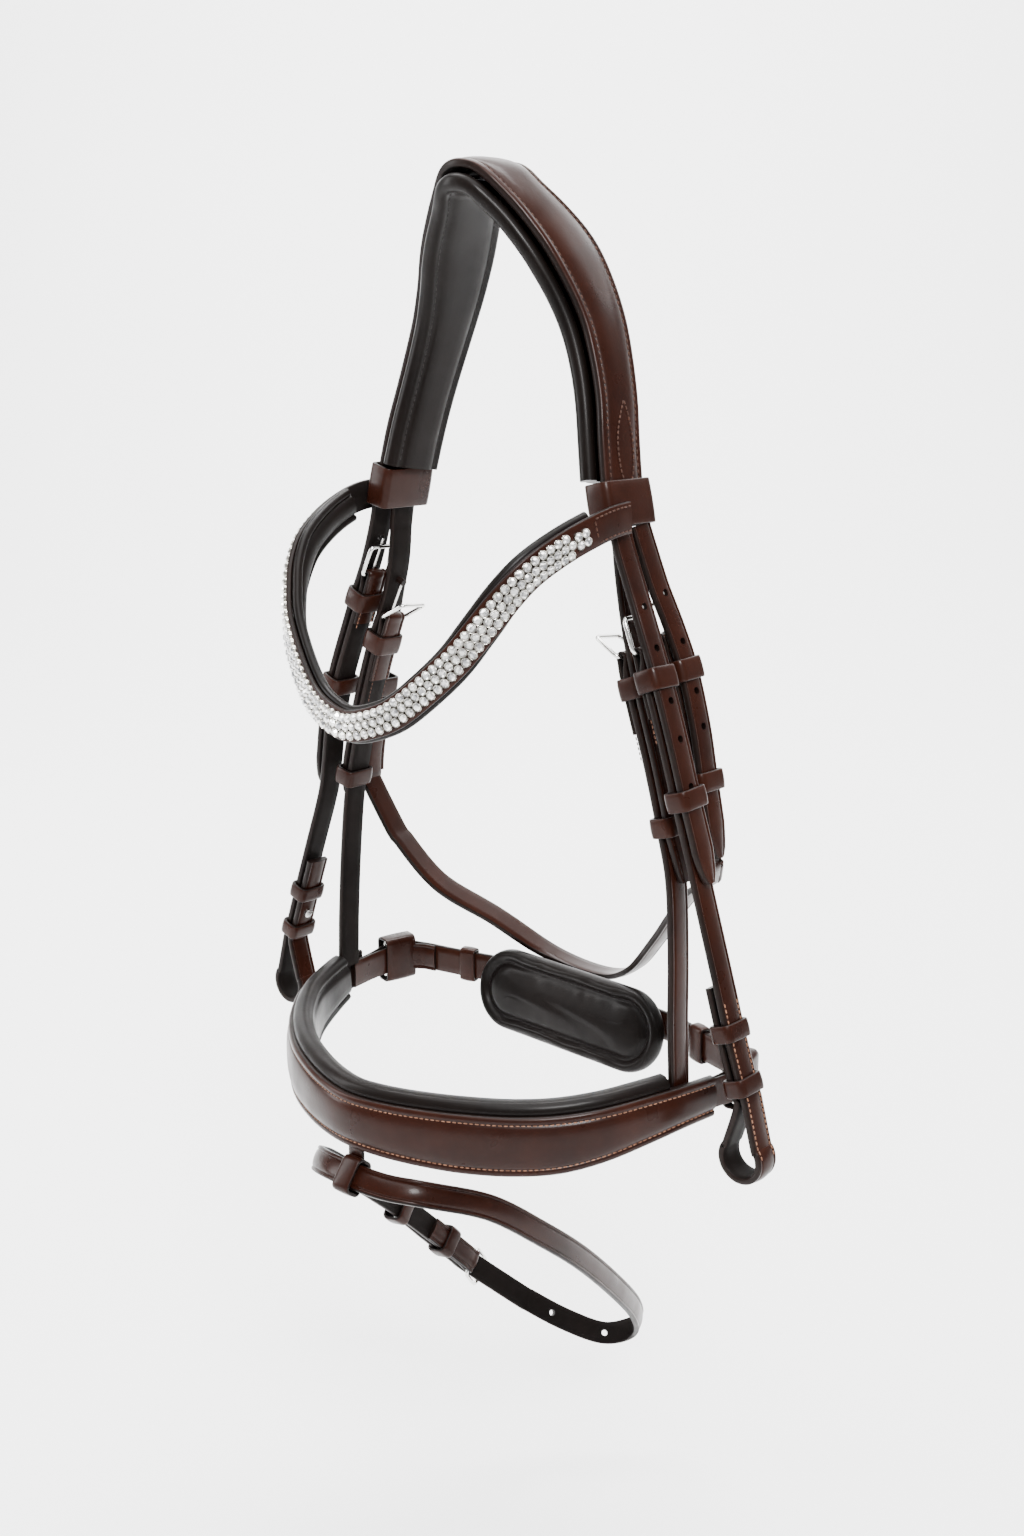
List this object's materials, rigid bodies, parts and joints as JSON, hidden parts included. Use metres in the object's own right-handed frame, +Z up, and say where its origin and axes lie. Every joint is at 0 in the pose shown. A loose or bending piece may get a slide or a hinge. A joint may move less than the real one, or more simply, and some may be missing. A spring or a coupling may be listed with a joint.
{
  "type": "snaffle bridle",
  "caption": "Padded leather horse bridle with a curved crystal browband, crank noseband with chin pad, flash strap, throatlash and cheekpieces with open bit loops.",
  "frame": {"origin": "underside of the crown's padding on the centre line, where the bridle rests on the poll or hangs on a bridle hook", "axes": "+Z up as it hangs, +X to the horse's left (near) side, -Y to the front of the horse's face"},
  "size_m": [0.331, 0.2131, 0.6333],
  "materials": {
    "strap_leather": "polished",
    "padding_leather": "soft satin",
    "steel": "polished",
    "crystal": "faceted"
  },
  "bodies": {
    "bridle": {"crown_leather": "strap_leather", "crown_padding": "padding_leather", "noseband_headstrap": "strap_leather", "near_cheek_billet": "strap_leather", "far_cheek_billet": "strap_leather", "near_throat_billet": "strap_leather", "far_throat_billet": "strap_leather", "browband": "strap_leather", "browband_lining": "padding_leather", "browband_crystals": "crystal", "near_browband_loop": "strap_leather", "far_browband_loop": "strap_leather", "near_cheekpiece": "strap_leather", "far_cheekpiece": "strap_leather", "hook_studs": "steel", "bit_keepers": "strap_leather", "cheek_keepers": "strap_leather", "throatlash": "strap_leather", "throat_keepers": "strap_leather", "near_noseband_strap": "strap_leather", "far_noseband_strap": "strap_leather", "noseband_keepers": "strap_leather", "nose_piece": "strap_leather", "nose_padding": "padding_leather", "near_side_tab": "strap_leather", "far_side_tab": "strap_leather", "side_rings": "steel", "ring_covers": "strap_leather", "crank_strap": "strap_leather", "crank_keepers": "strap_leather", "chin_pad": "padding_leather", "chin_pad_backing": "strap_leather", "flash_loop": "strap_leather", "cheek_tongues": "steel", "throat_tongues": "steel", "noseband_tongues": "steel"},
    "near_cheek_frame": {"near_cheek_buckle": "steel"},
    "far_cheek_frame": {"far_cheek_buckle": "steel"},
    "near_throat_frame": {"near_throat_buckle": "steel"},
    "far_throat_frame": {"far_throat_buckle": "steel"},
    "near_noseband_frame": {"near_noseband_buckle": "steel"},
    "far_noseband_frame": {"far_noseband_buckle": "steel"},
    "near_cheek_sliding_keeper": {"near_cheek_runner": "strap_leather"},
    "far_cheek_sliding_keeper": {"far_cheek_runner": "strap_leather"},
    "near_throat_sliding_keeper": {"near_throat_runner": "strap_leather"},
    "near_noseband_sliding_keeper": {"near_noseband_runner": "strap_leather"},
    "far_noseband_sliding_keeper": {"far_noseband_runner": "strap_leather"},
    "flash": {"flash_strap": "strap_leather", "flash_keeper": "strap_leather", "flash_buckle": "steel"},
    "flash_sliding_keeper": {"flash_runner": "strap_leather"},
    "flash_pin": {"flash_tongue": "steel"}
  },
  "joints": [
    {"name": "near_cheek_frame_turn", "type": "hinge", "parent": "bridle", "child": "near_cheek_frame", "pos_m": [0.0908, 0.00832, -0.19286], "axis": [-0.0086, -0.9998, 0.0202], "range_deg": [0, 15]},
    {"name": "far_cheek_frame_turn", "type": "hinge", "parent": "bridle", "child": "far_cheek_frame", "pos_m": [-0.08351, 0.00887, -0.17619], "axis": [-0.0148, 0.9993, -0.0331], "range_deg": [0, 8]},
    {"name": "near_throat_frame_turn", "type": "hinge", "parent": "bridle", "child": "near_throat_frame", "pos_m": [0.08705, 0.0295, -0.18921], "axis": [0.0448, -0.992, -0.118], "range_deg": [0, 15]},
    {"name": "far_throat_frame_turn", "type": "hinge", "parent": "bridle", "child": "far_throat_frame", "pos_m": [-0.10817, 0.02992, -0.26256], "axis": [-0.0005, 1, -0.0024], "range_deg": [0, 30]},
    {"name": "near_noseband_frame_turn", "type": "hinge", "parent": "bridle", "child": "near_noseband_frame", "pos_m": [0.07684, 0.0147, -0.1978], "axis": [-0.0401, -0.9943, 0.0993], "range_deg": [-40, 30]},
    {"name": "far_noseband_frame_turn", "type": "hinge", "parent": "bridle", "child": "far_noseband_frame", "pos_m": [-0.07684, 0.0147, -0.1978], "axis": [-0.0401, 0.9943, -0.0993], "range_deg": [-40, 30]},
    {"name": "near_cheek_keeper_slide", "type": "slide", "parent": "bridle", "child": "near_cheek_sliding_keeper", "axis": [0.277, 0.043, -0.9599], "range_m": [-0.004, 0.004]},
    {"name": "far_cheek_keeper_slide", "type": "slide", "parent": "bridle", "child": "far_cheek_sliding_keeper", "axis": [-0.3204, -0.0156, -0.9471], "range_m": [-0.004, 0.004]},
    {"name": "near_throat_keeper_slide", "type": "slide", "parent": "bridle", "child": "near_throat_sliding_keeper", "axis": [0.2163, -0.0119, -0.9763], "range_m": [-0.004, 0.004]},
    {"name": "near_noseband_keeper_slide", "type": "slide", "parent": "bridle", "child": "near_noseband_sliding_keeper", "axis": [0.2602, 0.0022, -0.9656], "range_m": [-0.004, 0.004]},
    {"name": "far_noseband_keeper_slide", "type": "slide", "parent": "bridle", "child": "far_noseband_sliding_keeper", "axis": [-0.2342, 0.0016, -0.9722], "range_m": [-0.004, 0.004]},
    {"name": "flash_swing", "type": "hinge", "parent": "bridle", "child": "flash", "pos_m": [0.004, -0.094, -0.437], "axis": [-0.9985, -0.052, -0.0187], "range_deg": [-12, 12]},
    {"name": "flash_keeper_slide", "type": "slide", "parent": "flash", "child": "flash_sliding_keeper", "axis": [0.0408, 0.7079, -0.7052], "range_m": [-0.003, 0.003]},
    {"name": "flash_tongue_turn", "type": "hinge", "parent": "flash", "child": "flash_pin", "pos_m": [-0.043, 0.034, -0.557], "axis": [-0.1653, 0.7613, 0.627], "range_deg": [0, 8]}
  ]
}
